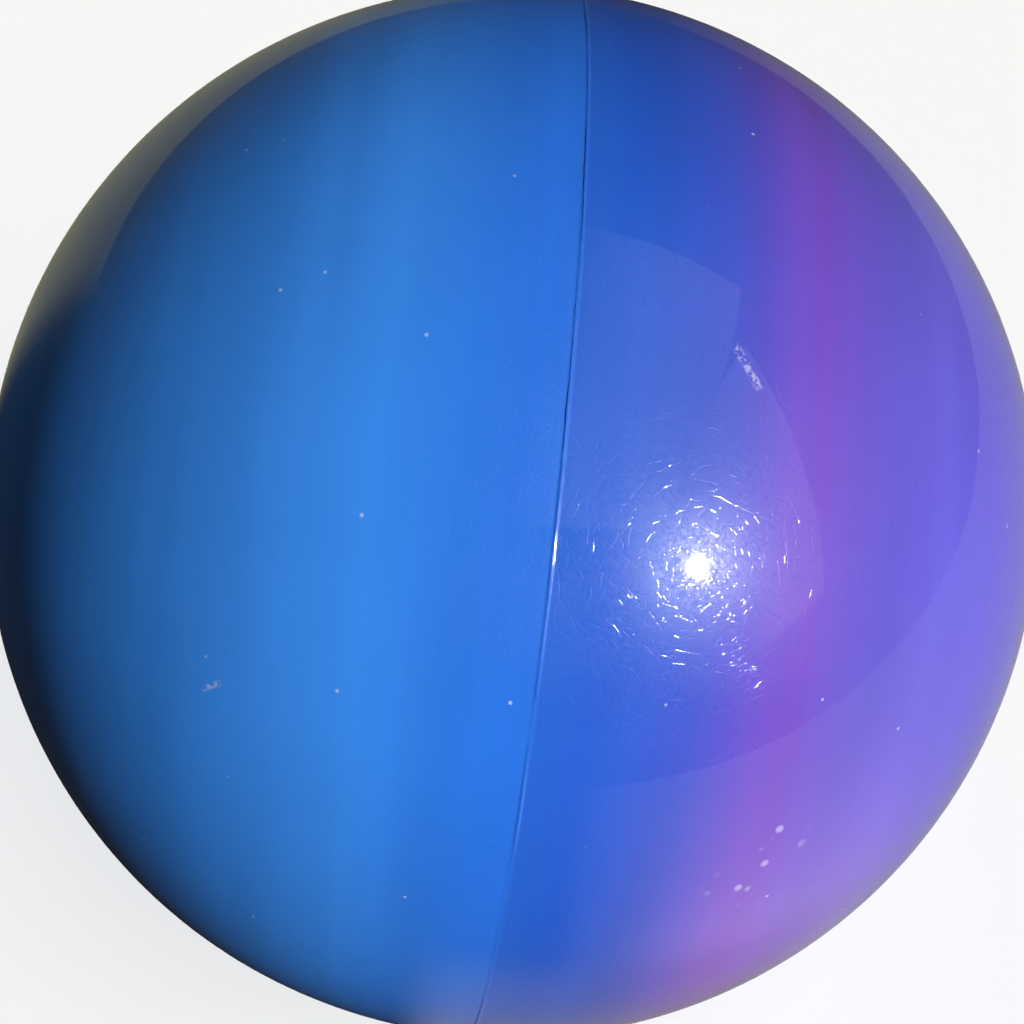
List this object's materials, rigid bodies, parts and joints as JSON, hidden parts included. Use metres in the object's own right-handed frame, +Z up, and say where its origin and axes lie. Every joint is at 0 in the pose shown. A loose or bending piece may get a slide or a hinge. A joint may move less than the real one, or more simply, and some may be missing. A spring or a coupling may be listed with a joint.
{
  "type": "juggling ball",
  "caption": "Hollow glossy vinyl stage juggling ball with a fine moulded ridge around its middle and a flush push-in needle valve at one pole.",
  "frame": {"origin": "centre of the ball", "axes": "+X along the pole axis, out through the valve; the moulded ridge lies in the YZ plane; +Z up"},
  "size_m": [0.0999, 0.1002, 0.1002],
  "materials": {
    "shell_vinyl": "sprayed in soft bands from azure blue to violet around the pole, under a clear gloss",
    "bush_rubber": "smooth moulded rubber",
    "core_rubber": "smooth moulded rubber"
  },
  "bodies": {
    "ball": {"shell": "shell_vinyl", "valve_bush": "bush_rubber"},
    "core": {"valve_core": "core_rubber"}
  },
  "joints": [
    {"name": "valve_core_pull", "type": "slide", "parent": "ball", "child": "core", "axis": [1, 0, 0], "range_m": [0, 0.016]}
  ]
}
